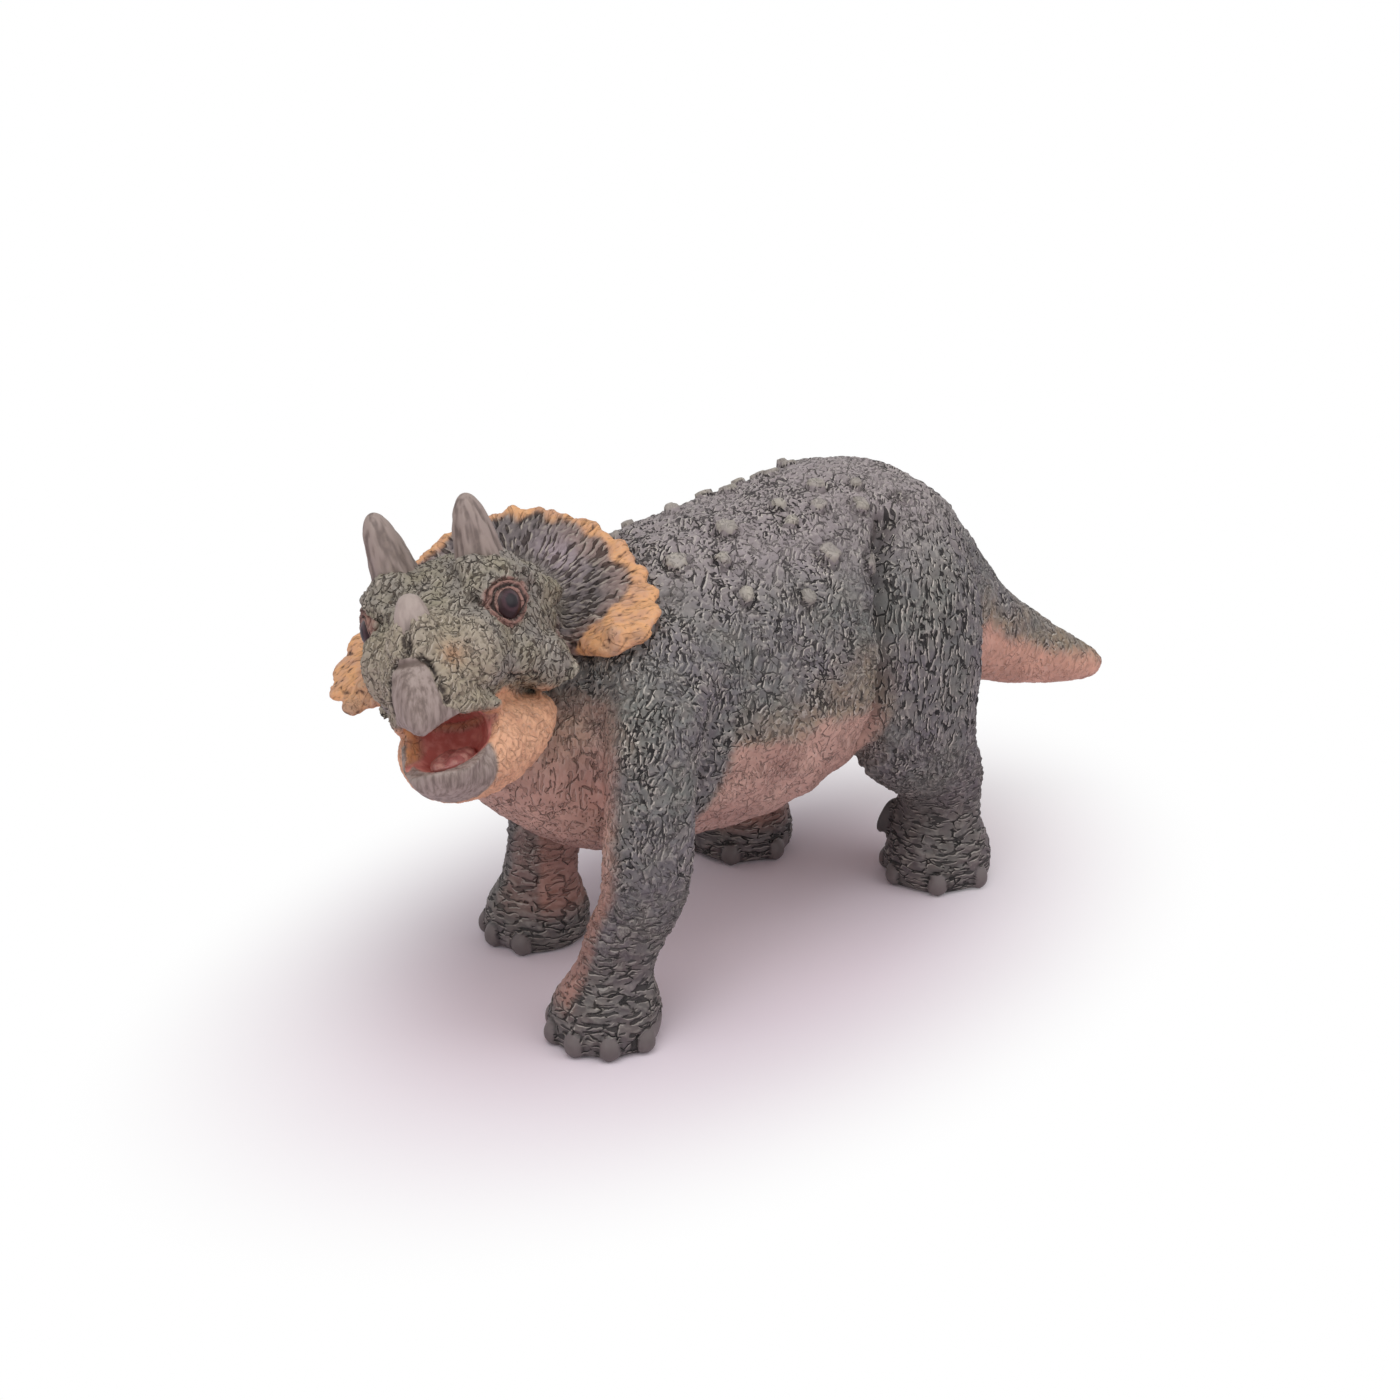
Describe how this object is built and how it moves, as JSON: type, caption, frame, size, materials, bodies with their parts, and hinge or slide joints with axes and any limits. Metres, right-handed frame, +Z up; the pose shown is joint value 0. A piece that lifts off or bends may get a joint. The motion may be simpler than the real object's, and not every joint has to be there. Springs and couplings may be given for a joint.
{
  "type": "toy dinosaur figure",
  "caption": "Solid moulded young horned dinosaur with a scalloped neck frill, open beak and short tail, standing on its feet with its head turned aside.",
  "frame": {"origin": "on the surface it stands on, under the middle of the figure's bounding box", "axes": "+Z up, +Y from the head end towards the tail, +X towards the figure's left side"},
  "size_m": [0.0404, 0.1148, 0.0619],
  "materials": {
    "hide": "soft vinyl, hand painted dark grey green over pink brown, dry brushed",
    "leg_hide": "soft vinyl, hand painted dark grey with pink brown on the inner sides",
    "head_hide": "soft vinyl, hand painted olive grey with an orange frill rim",
    "jaw_skin": "soft vinyl, hand painted orange brown with a pale grey beak",
    "mouth_lining": "soft vinyl, satin dark red paint",
    "horn": "soft vinyl, pinkish grey paint with dark streaks"
  },
  "bodies": {
    "root": {"torso": "hide", "tail": "hide", "front_leg_left": "leg_hide", "front_leg_right": "leg_hide", "hind_leg_left": "leg_hide", "hind_leg_right": "leg_hide", "head": "head_hide", "lower_jaw": "jaw_skin", "tongue": "mouth_lining", "brow_horn_left": "horn", "brow_horn_right": "horn", "nose_horn": "horn"}
  },
  "joints": []
}
